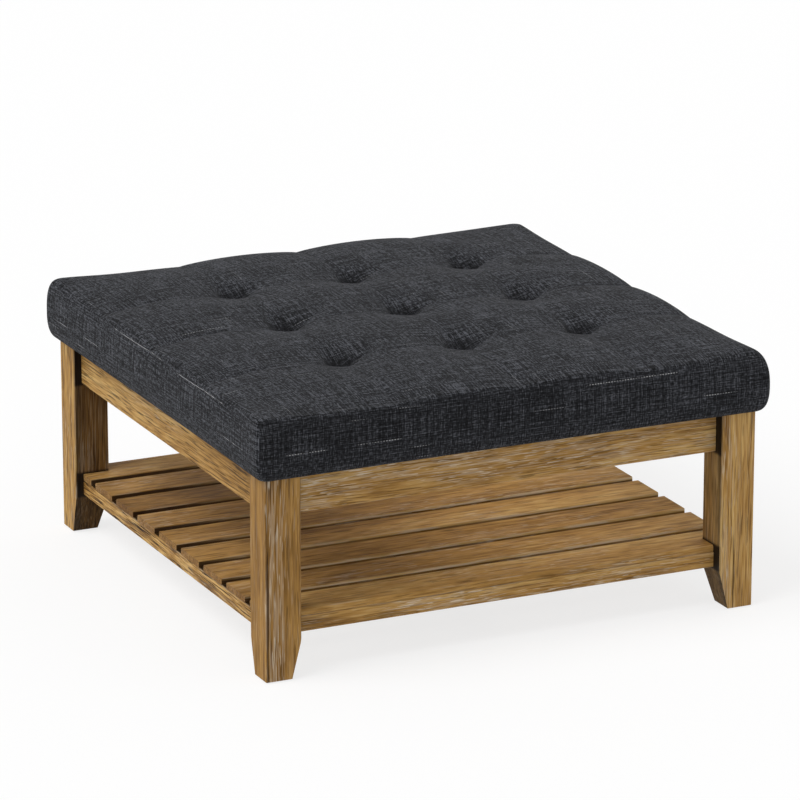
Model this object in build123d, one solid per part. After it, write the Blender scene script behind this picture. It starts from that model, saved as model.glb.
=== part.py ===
"""A square ottoman coffee table: tapered wooden legs, slatted shelf and a tufted cushion.

Millimetres. The origin is on the floor under the middle of the table. X runs to the right along the
front, Y to the back and Z up. The four corners are alike, so what stands at a corner is drawn once, at
the front left, and mirrored to the others. Each function below makes one kind of piece.
"""

from build123d import *
import os
from math import cos, pi, sin, sqrt

# Legs
leg_span = 923.0  # outer face to outer face of the legs, both ways
leg_section = 65.0
leg_foot = 47.0  # section at the floor, after the two inner faces are tapered
leg_taper_height = 71.0
frame_height = 356.0  # floor to the top of the legs and aprons
leg_ease = 1.8  # bevel on the legs' long edges

# Aprons under the seat
apron_height = 71.0
apron_thickness = 22.0
side_recess = 15.0  # from a leg's outer face in to the side aprons and side rails
end_recess = 23.0  # the same at the front and the back
board_ease = 1.4  # bevel on the aprons', rails' and slats' long edges

# Shelf
shelf_height = 114.0  # floor to the top of the slats
slat_count = 9
slat_thickness = 12.0
slat_gap = 20.5
slat_notch_gap = 0.6  # between a notched slat and the leg it passes
rail_height = 28.0
rail_thickness = 22.0
centre_rail_thickness = 40.0

# Joinery
tenon_thickness = 9.0
tenon_length = 16.0
tenon_shoulder = 9.0  # above and below an apron's tenon
rail_tenon_shoulder = 5.0
cross_tenon_length = 8.0  # of the seat brace and the centre rail
mortise_gap = 0.25  # round a tenon
mortise_end_gap = 1.0  # past its end
brace_width = 45.0
brace_height = 34.0

# Corner blocks
corner_block_height = 48.0
corner_block_arm = 62.0  # along the front apron, from the leg
shelf_block_height = 24.0
shelf_block_arm = 50.0
block_leg_gap = 0.6

# Bolts through the blocks into the legs
hanger_bolt_radius = 4.0
hanger_bolt_grip = 46.0  # depth in the leg
hanger_washer_radius = 11.0
hanger_washer_thickness = 1.8
hanger_nut_flats = 13.0
hanger_nut_height = 6.5
hanger_bolt_tail = 5.0  # past the nut
shelf_bolt_radius = 3.0
shelf_bolt_grip = 36.0
shelf_bolt_flats = 11.0
shelf_bolt_head = 4.0
bolt_gap = 0.3  # round a bolt in its hole
pilot_gap = 0.1  # round a bolt or screw in the wood it bites
pilot_end_gap = 1.0

# Seat screws, up through the corner blocks
seat_screw_radius = 2.4
seat_screw_head_radius = 4.8
seat_screw_head_height = 2.6
seat_screw_bite = 9.0  # depth in the seat board
seat_screw_side_share = 0.5  # how far along the block's arm it stands

# Feet
glide_radius = 12.0
glide_height = 2.0

# Seat board, dust cover and foam
dust_cover_thickness = 0.6
dust_cover_inset = 22.0  # from the board's edge
cover_fold = 1.4  # thickness of the cover where it is drawn under the board
cover_fold_width = 48.0
board_thickness = 12.0
board_inset = 8.0  # from the legs' outer faces
board_corner = 16.0
foam_thickness = 70.0
foam_gap = 0.3  # between foam and cover
wadding_thickness = 17.6  # over the foam at a seam line, where crown and side meet

# Cushion
overhang = 21.0  # widest part of the cushion past the legs
cushion_corner = 16.0  # plan radius of its corners
side_draw = 3.0  # how far each side is drawn in between the corners
crown_rise = 19.0  # from where crown and side meet to the middle
pillow_rise = 6.4  # each square between the tufts swells this much
edge_swell = 8.0  # and this much at the edge

# Profile of the cushion's side: height as a share of rim_height, inset as a share of overhang
side_shares = [
    (0.0, 0.95),
    (0.07, 0.55),
    (0.17, 0.24),
    (0.34, 0.04),
    (0.6, 0.0),
    (0.82, 0.1),
    (0.94, 0.36),
    (1.03, 0.92),
    (1.12, 1.8),
    (1.38, 4.9),
]

# Tufts
tufts_each_way = 3
tuft_pitch = 229.0
tuft_depth = 26.0
tuft_radius = 48.0  # where the pit has faded into the crown
tuft_pleats = 6
cord_radius = 1.2
cord_sides = 6  # the twine is laid as a six-sided rod
cord_gap = 0.3
cord_end_depth = 4.0  # from the bottom of the pit down to the end of the cord
anchor_length = 26.0
anchor_width = 8.0
anchor_thickness = 1.2

# Profile of a pit: height as a share of tuft_depth, radius as a share of tuft_radius
tuft_shares = [(-1.0, 0.18), (-0.65, 0.28), (-0.31, 0.44), (-0.04, 0.68), (0.23, 1.0)]
pleat_share = 0.84  # radius between two pleats

overrun = 5.0  # how far a cutting tool runs past what it cuts

# Places that follow from the sizes
half_span = leg_span / 2
leg_in = half_span - leg_section  # middle of the table to the inner face of a leg
side_out = half_span - side_recess
end_out = half_span - end_recess
side_apron_in = side_out - apron_thickness
end_apron_in = end_out - apron_thickness
side_rail_in = side_out - rail_thickness
end_rail_in = end_out - rail_thickness
apron_middle = frame_height - apron_height / 2
rail_top = shelf_height - slat_thickness
rail_middle = rail_top - rail_height / 2
side_apron_line = (side_out + side_apron_in) / 2
end_apron_line = (end_out + end_apron_in) / 2
side_rail_line = (side_out + side_rail_in) / 2
end_rail_line = (end_out + end_rail_in) / 2
brace_middle = frame_height - brace_height / 2
slat_width = (2 * end_out - (slat_count - 1) * slat_gap) / slat_count
slat_pitch = slat_width + slat_gap
cushion_bottom = frame_height + dust_cover_thickness
board_bottom = cushion_bottom + cover_fold
board_top = board_bottom + board_thickness
board_half = half_span - board_inset
foam_top = board_top + foam_thickness
rim_level = foam_top + wadding_thickness
rim_height = rim_level - cushion_bottom
cushion_half = half_span + overhang
tuft_places = [(i - (tufts_each_way - 1) / 2) * tuft_pitch for i in range(tufts_each_way)]
seam_lines = [-cushion_half] + tuft_places + [cushion_half]
foot_centre = -half_span + leg_foot / 2
corner_bolt_level = frame_height - corner_block_height / 2
shelf_bolt_level = rail_top - shelf_block_height / 2

LOW = (Align.CENTER, Align.CENTER, Align.MIN)
HIGH = (Align.CENTER, Align.CENTER, Align.MAX)


def box_between(low, high):
    """A box from its lowest to its highest corner."""
    size = [b - a for a, b in zip(low, high)]
    middle = [(a + b) / 2 for a, b in zip(low, high)]
    return Pos(*middle) * Box(*size)


def at_corners(shape):
    """The front-left shape and its images at the other corners, by name."""
    return {
        "front_left": shape,
        "front_right": mirror(shape, about=Plane.YZ),
        "back_left": mirror(shape, about=Plane.XZ),
        "back_right": Rot(0, 0, 180) * shape,
    }


def ease_long_edges(shape, axis, bevel):
    """Bevel the edges that run the length of a board, where brushing has taken them off."""
    long_edges = shape.edges().filter_by(axis)
    longest = max(edge.length for edge in long_edges)
    return chamfer([edge for edge in long_edges if edge.length > longest / 2], bevel)


def tenoned_board(length, thickness, height, tenon, shoulder, ease):
    """A board along X with a stub tenon at each end, centred on the origin."""
    board = ease_long_edges(Box(length, thickness, height), Axis.X, ease)
    return board + Box(length + 2 * tenon, tenon_thickness, height - 2 * shoulder)


def mortise(tenon, height, shoulder):
    """The cut for one tenon: it enters along +X from the origin."""
    deep = tenon + mortise_end_gap
    wide = tenon_thickness + 2 * mortise_gap
    high = height - 2 * shoulder + 2 * mortise_gap
    return box_between((-overrun, -wide / 2, -high / 2), (deep, wide / 2, high / 2))


def bolt_plane(level):
    """At the leg's inner corner, with Z pointing along the diagonal to the middle of the table."""
    return Plane(origin=(-leg_in, -leg_in, level), x_dir=(1, -1, 0), z_dir=(1, 1, 0))


def leg():
    """One blank, two saw cuts at the foot, four mortises and two bolt holes."""
    corner = -half_span
    blank = box_between((corner, corner, glide_height), (-leg_in, -leg_in, frame_height))
    blank = ease_long_edges(blank, Axis.Z, leg_ease)

    wedge = Polyline(
        (corner + leg_foot, 0),
        (-leg_in, leg_taper_height),
        (-leg_in + overrun, leg_taper_height),
        (-leg_in + overrun, 0),
        close=True,
    )
    side_cut = extrude(make_face(Plane.XZ * wedge), leg_span, dir=(0, -1, 0))
    blank -= side_cut
    blank -= mirror(side_cut, about=Plane(origin=(0, 0, 0), z_dir=(1, -1, 0)))

    apron_cut = mortise(tenon_length, apron_height, tenon_shoulder)
    rail_cut = mortise(tenon_length, rail_height, rail_tenon_shoulder)
    blank -= Pos(-leg_in, -end_apron_line, apron_middle) * Rot(0, 0, 180) * apron_cut
    blank -= Pos(-side_apron_line, -leg_in, apron_middle) * Rot(0, 0, -90) * apron_cut
    blank -= Pos(-leg_in, -end_rail_line, rail_middle) * Rot(0, 0, 180) * rail_cut
    blank -= Pos(-side_rail_line, -leg_in, rail_middle) * Rot(0, 0, -90) * rail_cut

    bolts = [
        (corner_bolt_level, hanger_bolt_radius, hanger_bolt_grip),
        (shelf_bolt_level, shelf_bolt_radius, shelf_bolt_grip),
    ]
    for level, radius, grip in bolts:
        hole = Cylinder(radius + pilot_gap, grip + pilot_end_gap + overrun, align=HIGH)
        blank -= bolt_plane(level) * Pos(0, 0, overrun) * hole
    return blank


def aprons():
    length = 2 * leg_in
    board = tenoned_board(
        length, apron_thickness, apron_height, tenon_length, tenon_shoulder, board_ease
    )
    brace_cut = mortise(cross_tenon_length, brace_height, rail_tenon_shoulder)
    brace_seat = Pos(0, apron_thickness / 2, brace_middle - apron_middle) * Rot(0, 0, -90)
    front = Pos(0, -end_apron_line, apron_middle) * (board - brace_seat * brace_cut)
    side = Rot(0, 0, 90) * board
    return {
        "apron_front": front,
        "apron_back": mirror(front, about=Plane.XZ),
        "apron_left": Pos(-side_apron_line, 0, apron_middle) * side,
        "apron_right": Pos(side_apron_line, 0, apron_middle) * side,
    }


def shelf_rails():
    length = 2 * leg_in
    board = tenoned_board(
        length, rail_thickness, rail_height, tenon_length, rail_tenon_shoulder, board_ease
    )
    centre_cut = mortise(cross_tenon_length, rail_height, rail_tenon_shoulder)
    centre_seat = Pos(0, rail_thickness / 2, 0) * Rot(0, 0, -90)
    front = Pos(0, -end_rail_line, rail_middle) * (board - centre_seat * centre_cut)
    side = Rot(0, 0, 90) * board
    return {
        "shelf_rail_front": front,
        "shelf_rail_back": mirror(front, about=Plane.XZ),
        "shelf_rail_left": Pos(-side_rail_line, 0, rail_middle) * side,
        "shelf_rail_right": Pos(side_rail_line, 0, rail_middle) * side,
    }


def cross_pieces():
    """The batten under the seat board and the rail under the middle of the slats, front to back."""
    brace = tenoned_board(
        2 * end_apron_in,
        brace_width,
        brace_height,
        cross_tenon_length,
        rail_tenon_shoulder,
        board_ease,
    )
    rail = tenoned_board(
        2 * end_rail_in,
        centre_rail_thickness,
        rail_height,
        cross_tenon_length,
        rail_tenon_shoulder,
        board_ease,
    )
    return {
        "seat_brace": Pos(0, 0, brace_middle) * Rot(0, 0, 90) * brace,
        "shelf_centre_rail": Pos(0, 0, rail_middle) * Rot(0, 0, 90) * rail,
    }


def slats():
    """Nine boards across the side rails. The first and the last are notched round the legs."""
    made = {}
    leg_and_gap = leg_in - slat_notch_gap
    for number in range(1, slat_count + 1):
        middle = (number - (slat_count + 1) / 2) * slat_pitch
        board = ease_long_edges(Box(2 * side_out, slat_width, slat_thickness), Axis.X, board_ease)
        board = Pos(0, middle, shelf_height - slat_thickness / 2) * board
        for side in (-1, 1):
            for end in (-1, 1):
                reach = end * (middle + end * slat_width / 2)
                if reach > leg_and_gap:
                    low = (leg_and_gap, leg_and_gap, rail_top - overrun)
                    high = (half_span + overrun, half_span + overrun, shelf_height + overrun)
                    notch = box_between(low, high)
                    turned = mirror(notch, about=Plane.YZ) if side < 0 else notch
                    board -= mirror(turned, about=Plane.XZ) if end < 0 else turned
        made[f"shelf_slat_{number}"] = board
    return made


def corner_block(height, top, arm, side_in, end_in):
    """A block that fills the corner behind a leg, with a face square to the diagonal for the nut."""
    beside_leg = -leg_in + block_leg_gap
    end_tip = -leg_in + arm
    side_tip = -side_in  # on the side board's inner face
    side_reach = -end_in + (end_tip - side_tip)
    outline = Polyline(
        (side_tip, beside_leg),
        (side_tip, side_reach),
        (end_tip, -end_in),
        (beside_leg, -end_in),
        (beside_leg, beside_leg),
        close=True,
    )
    return extrude(Pos(0, 0, top - height) * make_face(outline), height)


def block_face_distance(arm, end_in):
    """From the leg's inner corner along the diagonal to the face that carries the nut."""
    return (leg_in + arm - end_in) / sqrt(2)


def bolt_hole(level, radius, seat):
    """Through a block, from behind the leg's corner to past the face that carries the nut."""
    hole = Cylinder(radius + bolt_gap, seat + 2 * overrun, align=LOW)
    return bolt_plane(level) * Pos(0, 0, -overrun) * hole


def hanger_bolt_set(seat):
    """A bolt that bites the leg, with a washer and a nut on the block's diagonal face."""
    plane = bolt_plane(corner_bolt_level)
    stack = hanger_washer_thickness + hanger_nut_height
    length = hanger_bolt_grip + seat + stack + hanger_bolt_tail
    bolt = plane * Pos(0, 0, -hanger_bolt_grip) * Cylinder(hanger_bolt_radius, length, align=LOW)
    bore = Cylinder(hanger_bolt_radius + bolt_gap, stack + 2 * overrun, align=LOW)
    bore = Pos(0, 0, seat - overrun) * bore
    washer = Cylinder(hanger_washer_radius, hanger_washer_thickness, align=LOW)
    nut = extrude(RegularPolygon(hanger_nut_flats / 2, 6, major_radius=False), hanger_nut_height)
    washer = plane * (Pos(0, 0, seat) * washer - bore)
    nut = plane * (Pos(0, 0, seat + hanger_washer_thickness) * nut - bore)
    return bolt, washer, nut


def shelf_bolt(seat):
    """A hex-headed lag bolt through the shelf block into the leg."""
    shank = Cylinder(shelf_bolt_radius, shelf_bolt_grip + seat, align=LOW)
    head = extrude(RegularPolygon(shelf_bolt_flats / 2, 6, major_radius=False), shelf_bolt_head)
    bolt = Pos(0, 0, -shelf_bolt_grip) * shank + Pos(0, 0, seat) * head
    return bolt_plane(shelf_bolt_level) * bolt


def seat_screw_place():
    """On the block's side arm, clear of the bolt."""
    x = -side_apron_in + (leg_section - side_recess - apron_thickness) / 2
    along = -end_apron_in + (-leg_in + corner_block_arm + side_apron_in)
    y = -leg_in + seat_screw_side_share * (along + leg_in)
    return x, y


def seat_screw():
    """Its head bears on the underside of the block and its point bites the board."""
    block_bottom = frame_height - corner_block_height
    head = Cylinder(seat_screw_head_radius, seat_screw_head_height, align=HIGH)
    shank_length = board_bottom + seat_screw_bite - block_bottom
    shank = Cylinder(seat_screw_radius, shank_length, align=LOW)
    return Pos(*seat_screw_place(), block_bottom) * (head + shank)


def seat_screw_hole():
    """Drilled through the block and into the board."""
    length = board_bottom + seat_screw_bite + pilot_end_gap - frame_height + corner_block_height
    hole = Cylinder(seat_screw_radius + pilot_gap, length + overrun, align=HIGH)
    return Pos(*seat_screw_place(), board_bottom + seat_screw_bite + pilot_end_gap) * hole


def seat_screw_slit():
    """Where the screw pierces the dust cover and, if it reaches that far, the folded cover."""
    width = 2 * (seat_screw_radius + pilot_gap)
    return Pos(*seat_screw_place(), board_bottom) * Box(width, width, 2 * overrun)


def foot_glide():
    return Pos(foot_centre, foot_centre, 0) * Cylinder(glide_radius, glide_height, align=LOW)


def rounded_square(half, corner, draw):
    """A cushion's outline in plan: four sides, each an arc drawn in a little, and round corners."""
    straight = half - corner
    bend = corner * (1 - sqrt(1 / 2))
    edges = []
    for turn in range(4):
        side = ThreePointArc((-straight, -half), (0, -half + draw), (straight, -half))
        round_corner = ThreePointArc(
            (straight, -half), (half - bend, -half + bend), (half, -straight)
        )
        edges += [Rot(0, 0, 90 * turn) * side, Rot(0, 0, 90 * turn) * round_corner]
    return make_face(Wire(edges))


def cushion_sides():
    """The boxed side: tucked in at the legs, fullest a third of the way up, drawn in to the crown."""
    levels = [
        (cushion_bottom + height_share * rim_height, cushion_half - inset_share * overhang)
        for height_share, inset_share in side_shares
    ]
    sections = [
        Pos(0, 0, level) * rounded_square(half, cushion_corner, side_draw) for level, half in levels
    ]
    return loft(sections, ruled=True)


def crown_level(x, y):
    """Height of the crown, flat over the middle and falling away near the edges."""
    flat_x = 1 - (x / cushion_half) ** 4
    flat_y = 1 - (y / cushion_half) ** 4
    return rim_level + crown_rise * flat_x * flat_y


def swell(x, y):
    """How far the squares between the tufts stand above the crown, none where two lines cross."""
    lines_met = (x in seam_lines) + (y in seam_lines)
    if lines_met == 2:
        return 0
    if lines_met == 0:
        return pillow_rise
    at_rim = cushion_half in (abs(x), abs(y))
    return edge_swell if at_rim else pillow_rise / 2


def top_level(x, y):
    return crown_level(x, y) + swell(x, y)


def crown_profile(x):
    """A slice through the cushion from front to back: four arcs that meet on the tufts' lines."""
    near_rim, far_rim = seam_lines[0], seam_lines[-1]
    base = cushion_bottom - overrun
    edges = [
        Line((far_rim, top_level(x, far_rim)), (far_rim, base)),
        Line((far_rim, base), (near_rim, base)),
        Line((near_rim, base), (near_rim, top_level(x, near_rim))),
    ]
    for near, far in zip(seam_lines, seam_lines[1:]):
        points = [(y, top_level(x, y)) for y in (near, (near + far) / 2, far)]
        edges.append(ThreePointArc(*points))
    return Plane(origin=(x, 0, 0), x_dir=(0, 1, 0), z_dir=(1, 0, 0)) * make_face(Wire(edges))


def cushion_crown():
    """One loft for each strip between two lines of tufts, so that the strips meet in a valley."""
    crown = Part()
    for left, right in zip(seam_lines, seam_lines[1:]):
        crown += loft([crown_profile(x) for x in (left, (left + right) / 2, right)])
    return crown


def tuft_pit():
    """The pleated funnel that a drawn-in tuft leaves."""
    rings = []
    corners = 2 * tuft_pleats
    for height_share, radius_share in tuft_shares:
        ring = []
        for corner in range(corners):
            radius = radius_share * tuft_radius * (1 if corner % 2 else pleat_share)
            angle = 2 * pi * corner / corners
            ring.append((radius * cos(angle), radius * sin(angle)))
        rings.append(Pos(0, 0, height_share * tuft_depth) * make_face(Polyline(*ring, close=True)))
    return loft(rings, ruled=True)


def board_outline():
    return RectangleRounded(2 * board_half, 2 * board_half, board_corner)


def at_tufts(make):
    """One shape for each tuft, made by a function of its place and set there."""
    return [Pos(x, y, 0) * make(x, y) for x in tuft_places for y in tuft_places]


def cord_top(x, y):
    return crown_level(x, y) - tuft_depth - cord_end_depth


def twine(radius, low, high):
    return Pos(0, 0, low) * extrude(RegularPolygon(radius, cord_sides), high - low)


def cord_cut(x, y):
    return twine(cord_radius + cord_gap, board_bottom - overrun, cord_top(x, y) + cord_gap)


def cushion():
    """Board, foam and the tufted cover that is drawn over both and folded under the board."""
    cord_holes = at_tufts(cord_cut)
    screw_holes = list(at_corners(seat_screw_hole()).values())
    screw_slits = list(at_corners(seat_screw_slit()).values())

    board = Pos(0, 0, board_bottom) * extrude(board_outline(), board_thickness)
    foam = Pos(0, 0, board_top) * extrude(board_outline(), foam_thickness)

    cover = cushion_sides() & cushion_crown()
    cover -= at_tufts(lambda x, y: Pos(0, 0, crown_level(x, y)) * tuft_pit())
    pocket = extrude(offset(board_outline(), foam_gap), foam_top + foam_gap - board_bottom)
    opening_half = board_half - cover_fold_width
    opening = box_between(
        (-opening_half, -opening_half, cushion_bottom - overrun),
        (opening_half, opening_half, board_bottom + overrun),
    )
    cover = cover - Pos(0, 0, board_bottom) * pocket - opening

    sheet_half = board_half - dust_cover_inset
    sheet = box_between(
        (-sheet_half, -sheet_half, frame_height), (sheet_half, sheet_half, cushion_bottom)
    )
    return {
        "seat_board": board - cord_holes - screw_holes,
        "foam_block": foam - cord_holes,
        "cushion_cover": cover - cord_holes - screw_slits,
        "dust_cover": sheet - screw_slits,
    }


def tuft_cord(x, y):
    return twine(cord_radius, board_bottom, cord_top(x, y))


def tuft_anchor(x, y):
    """A flat bar that the cord is tied round, drawn up against the underside of the board."""
    bar = Box(anchor_length, anchor_width, anchor_thickness, align=HIGH)
    return Pos(0, 0, board_bottom) * bar


def corner_set():
    """What stands behind each leg: the two blocks and what fastens them, by node."""
    upper_seat = block_face_distance(corner_block_arm, end_apron_in)
    lower_seat = block_face_distance(shelf_block_arm, end_rail_in)
    upper = corner_block(
        corner_block_height, frame_height, corner_block_arm, side_apron_in, end_apron_in
    )
    upper -= bolt_hole(corner_bolt_level, hanger_bolt_radius, upper_seat)
    upper -= seat_screw_hole()
    lower = corner_block(shelf_block_height, rail_top, shelf_block_arm, side_rail_in, end_rail_in)
    lower -= bolt_hole(shelf_bolt_level, shelf_bolt_radius, lower_seat)
    blocks = {"corner_block": upper, "shelf_block": lower}
    bolt, washer, nut = hanger_bolt_set(upper_seat)
    fasteners = {
        "hanger_bolts": bolt,
        "hanger_washers": washer,
        "hanger_nuts": nut,
        "shelf_bolts": shelf_bolt(lower_seat),
        "seat_screws": seat_screw(),
        "foot_glides": foot_glide(),
    }
    return blocks, fasteners


def assemble():
    made = {}
    blocks, fasteners = corner_set()
    for kind, shape in {"leg": leg(), **blocks}.items():
        for corner, image in at_corners(shape).items():
            made[f"{kind}_{corner}"] = image
    for kind, shape in fasteners.items():
        made[kind] = Compound(list(at_corners(shape).values()))
    for group in (aprons, shelf_rails, cross_pieces, slats, cushion):
        made.update(group())
    made["tuft_cords"] = Compound(at_tufts(tuft_cord))
    made["tuft_anchors"] = Compound(at_tufts(tuft_anchor))
    return made


os.makedirs("parts", exist_ok=True)
for name, shape in assemble().items():
    export_step(shape, f"parts/{name}.step")
    print(f"{name}: {len(shape.solids())} solid(s), {shape.volume / 1000:.1f} cubic cm")
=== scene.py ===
# %% [markdown]
# # A tufted ottoman coffee table
#
# The table has a limed pine frame with tapered legs, a slatted shelf, and a seat of board and foam in a
# tufted charcoal linen cover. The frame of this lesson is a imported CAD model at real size: it says where
# every piece is, and we never move or change it. Our work is what a CAD model lacks: wood that was
# brushed and limed, linen with slubs, a cover that is really pulled in at nine tufts, and the small
# screws that hold the slats.
#
# Every length below is in metres, because the frame is. We write the small ones in millimetres and
# multiply them by `MM`, which keeps them readable.

# %% Load the frame
import math
import random

import bmesh
import bpy
import numpy as np
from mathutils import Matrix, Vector


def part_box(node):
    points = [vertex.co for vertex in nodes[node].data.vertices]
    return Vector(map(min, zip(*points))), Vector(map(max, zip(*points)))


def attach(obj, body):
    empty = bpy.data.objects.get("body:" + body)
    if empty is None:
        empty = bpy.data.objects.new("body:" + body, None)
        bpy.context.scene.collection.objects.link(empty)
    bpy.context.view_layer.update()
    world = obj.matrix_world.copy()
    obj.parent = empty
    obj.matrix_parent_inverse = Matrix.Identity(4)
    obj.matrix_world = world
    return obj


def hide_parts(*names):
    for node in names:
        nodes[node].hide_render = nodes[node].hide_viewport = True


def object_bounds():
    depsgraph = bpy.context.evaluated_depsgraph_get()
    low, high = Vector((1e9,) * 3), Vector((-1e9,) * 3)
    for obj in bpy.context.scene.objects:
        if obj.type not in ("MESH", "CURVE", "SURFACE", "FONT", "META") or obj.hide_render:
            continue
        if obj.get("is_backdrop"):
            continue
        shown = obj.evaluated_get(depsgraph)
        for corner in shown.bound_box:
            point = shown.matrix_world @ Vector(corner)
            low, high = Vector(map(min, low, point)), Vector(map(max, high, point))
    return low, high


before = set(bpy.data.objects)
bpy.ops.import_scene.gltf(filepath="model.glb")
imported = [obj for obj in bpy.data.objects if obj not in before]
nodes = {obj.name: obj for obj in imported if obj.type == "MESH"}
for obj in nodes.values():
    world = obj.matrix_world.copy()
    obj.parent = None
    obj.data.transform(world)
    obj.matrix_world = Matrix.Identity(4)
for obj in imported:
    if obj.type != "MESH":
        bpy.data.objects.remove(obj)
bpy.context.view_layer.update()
MM = 0.001

# %% [markdown]
# ## Shader maths as Python
#
# A wood or cloth finish is a formula over the surface, and Blender writes formulas as nodes. Wiring them
# by hand takes a dozen lines for one sum. It could also be an image texture, but that needs a file and
# blurs up close. So we wrap an output socket in a small class that knows `+ - * /` and `**`: an
# expression on values then adds its own Math nodes. Colours never go through it, because a Math node
# turns a colour grey: they have `mix` below.


# %% A socket that knows arithmetic
class Value:
    def __init__(self, finish, socket):
        self.finish = finish
        self.socket = socket

    def math(self, operation, *others):
        """The Math node's result for this value and up to two others."""
        return self.finish.math(operation, self, *others)

    def __abs__(self):
        return self.math("ABSOLUTE")

    def between(self, low, high):
        """0 below low, 1 above high and a soft step between them; low may be the higher one."""
        sizes = {"Value": self, "From Min": low, "From Max": high}
        return self.finish.node("ShaderNodeMapRange", {"interpolation_type": "SMOOTHSTEP"}, sizes)


def overload(sign, operation):
    """Give the class one operator, and its reflected form for a plain number on the left."""
    setattr(Value, f"__{sign}__", lambda self, other: self.finish.math(operation, self, other))
    setattr(Value, f"__r{sign}__", lambda self, other: self.finish.math(operation, other, self))


overload("add", "ADD")
overload("sub", "SUBTRACT")
overload("mul", "MULTIPLY")
overload("truediv", "DIVIDE")
overload("pow", "POWER")


# %% [markdown]
# The second class is one material. Its `node` method makes any other node: the type, then the settings,
# such as a ramp's stops, then what goes into the sockets, by name or by number. `noise` is the pattern
# that we use most, stretched differently along each axis: that is what turns a cloud into a fibre.


# %% A finish: one material under construction
class Finish:
    def __init__(self, name, world=None):
        self.material = world or bpy.data.materials.new(name)
        self.material.use_nodes = True
        self.tree = self.material.node_tree
        self.tree.nodes.clear()

    def node(self, kind, settings=None, inputs=None, output=0):
        made = self.tree.nodes.new(kind)
        for name, setting in (settings or {}).items():
            if name == "stops":
                self.set_stops(made.color_ramp, setting)
            else:
                setattr(made, name, setting)
        for name, given in (inputs or {}).items():
            if isinstance(given, Value):
                self.tree.links.new(given.socket, made.inputs[name])
            elif given is not None:
                made.inputs[name].default_value = given
        return Value(self, made.outputs[output])

    def set_stops(self, ramp, stops):
        while len(ramp.elements) < len(stops):
            ramp.elements.new(1)
        for element, (position, colour) in zip(ramp.elements, stops):
            element.position = position
            element.color = colour

    def math(self, operation, *inputs):
        return self.node("ShaderNodeMath", {"operation": operation}, dict(enumerate(inputs)))

    def split(self, vector):
        """The x, y and z of a vector, as three values."""
        outputs = self.node("ShaderNodeSeparateXYZ", None, {0: vector}).socket.node.outputs
        return [Value(self, output) for output in outputs]

    def place(self):
        """Where the point is, in the piece's own coordinates."""
        return self.node("ShaderNodeTexCoord", output="Object")

    def normal(self):
        """The surface's direction, as three values."""
        return self.split(self.node("ShaderNodeNewGeometry", output="Normal"))

    def ramp(self, at, stops):
        return self.node("ShaderNodeValToRGB", {"stops": stops}, {0: at})

    def noise(self, place, stretch, detail=2, seed=0):
        """A cloud between about 0.25 and 0.75, with `stretch` features in a metre along each axis."""
        mapping = {"Vector": place, "Location": (seed, 2 * seed, 3 * seed), "Scale": stretch}
        moved = self.node("ShaderNodeMapping", None, mapping)
        return self.node("ShaderNodeTexNoise", None, {"Vector": moved, "Scale": 1, "Detail": detail})

    def mix(self, mask, first, second):
        """first where the mask is 0 and second where it is 1, as colours."""
        colours = {0: mask, 6: first, 7: second}
        return self.node("ShaderNodeMix", {"data_type": "RGBA"}, colours, output=2)

    def coats(self, colour, *coats):
        """Coats over a colour, each as (how much of it there is, its own colour)."""
        for mask, coat in coats:
            colour = self.mix(mask, colour, coat)
        return colour

    def bump(self, height, depth):
        """A normal from a height between 0 and 1 and the depth that it stands for."""
        return self.node("ShaderNodeBump", None, {"Strength": 1, "Distance": depth, "Height": height})

    def close(self, **principled):
        """The surface: one Principled shader with the sockets given by name."""
        sockets = {name.replace("_", " "): given for name, given in principled.items()}
        return self.finish_with(self.node("ShaderNodeBsdfPrincipled", None, sockets))

    def finish_with(self, shader):
        is_world = isinstance(self.material, bpy.types.World)
        kind = "ShaderNodeOutputWorld" if is_world else "ShaderNodeOutputMaterial"
        output = self.tree.nodes.new(kind)
        self.tree.links.new(shader.socket, output.inputs["Surface"])
        return self.material


def paint(red, green, blue):
    """A colour as a paint card gives it, 0 to 255, in the linear light that shaders use."""

    def linear(part):
        part = part / 255
        return part / 12.92 if part <= 0.04045 else ((part + 0.055) / 1.055) ** 2.4

    return (linear(red), linear(green), linear(blue), 1)


def wear(piece, material):
    """Dress a piece, or a CAD node, in one material."""
    piece.data.materials.clear()
    piece.data.materials.append(material)


# %% [markdown]
# ## Brushed and limed pine
#
# The frame is softwood that was wire-brushed, which digs out the soft early growth, then stained honey
# brown and rubbed with a white wax that stays in the grooves. A flat brown with a bump would look like
# plastic. We rebuild the board's own history instead. Growth rings are cylinders round a pith that lies
# outside the board and drifts along it, so they surface as long arches on the face and as arcs on the
# end, with no seam at the corners. Fibres are noise stretched many times along the grain, and bent a
# little by a slow wobble, because no tree is straight. The lime is a finer fibre pattern, let through
# only in some patches, and most of it on the faces that look to the front and back, which were rubbed
# last. Each board gets its own pith, tone and lime, as if it came from another plank.

# %% Sizes and colours of the wood
ring_spacing = 6 * MM
ring_wander = 16 * MM  # how far knots and weather push the rings about
grain_wobble = 9 * MM
pith_drift = 0.035  # sideways, for each metre along the board
brush_depth = 0.5 * MM
gap_shade_fade = 130 * MM  # over this length the painted shade on a slat's side gives way to the pale strip
strip_low, strip_high = 5.4 * MM, 3.8 * MM  # below a slat's arris, a pale strip of honey with lime flecks, lifted with painted light
stave_fade = 9 * MM
stave_wander = 30 * MM  # how far a stave's lime strays over its edge
seam_fade = 30 * MM
arris_reach = 18 * MM  # how far in from a leg's outer arris the painted shade reaches
corner_fade = 7 * MM
leg_coarse, slat_coarse = (1, 0.5), (0.42, 1)
faced = (0.6, 0.9)  # a surface faces a way when its direction has this much of it

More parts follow.
